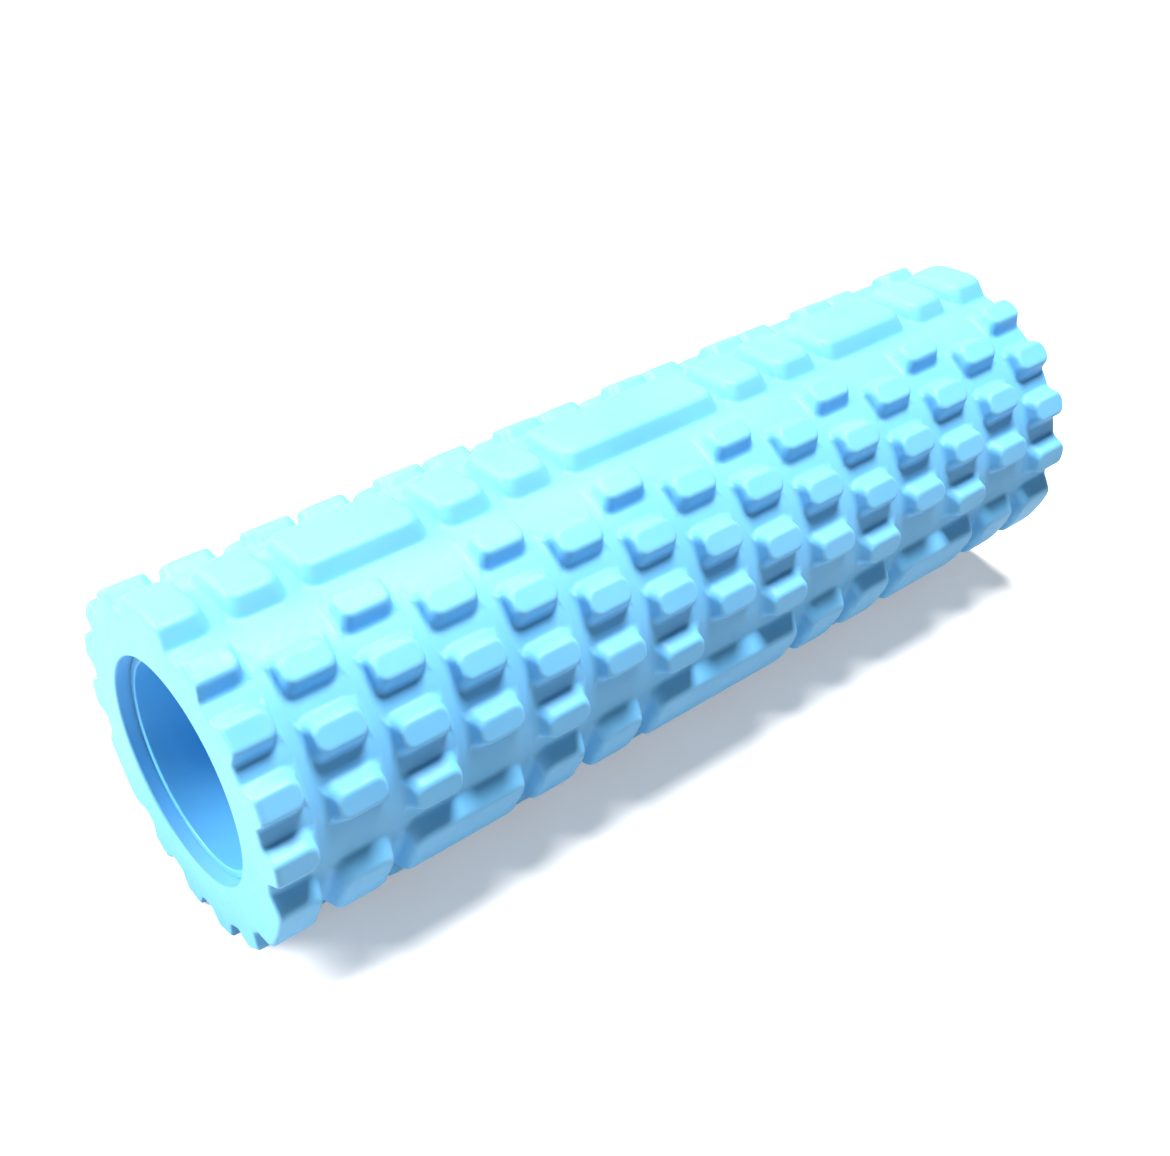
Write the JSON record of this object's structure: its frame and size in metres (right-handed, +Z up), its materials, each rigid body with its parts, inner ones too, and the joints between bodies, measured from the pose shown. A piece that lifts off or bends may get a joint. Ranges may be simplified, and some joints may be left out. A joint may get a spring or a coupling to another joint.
{
  "type": "foam roller",
  "caption": "Hollow foam massage roller: a moulded foam sleeve with fields of small staggered blocks and rows of larger pads, bonded on a plain core tube, open at both ends.",
  "frame": {"origin": "centre of the roller, on its axis halfway between the two end faces", "axes": "+X along the roller's axis, +Z up, and -Y towards the front, where one field of small blocks faces forward and up; the roller lies on one row of blocks"},
  "size_m": [0.3, 0.0989, 0.0991],
  "materials": {
    "foam": "matte closed-cell foam, light blue, fine skin grain with a soft sheen",
    "tube_plastic": "smooth extruded plastic, mid blue, satin"
  },
  "bodies": {
    "root": {"foam_sleeve": "foam", "core_tube": "tube_plastic"}
  },
  "joints": []
}
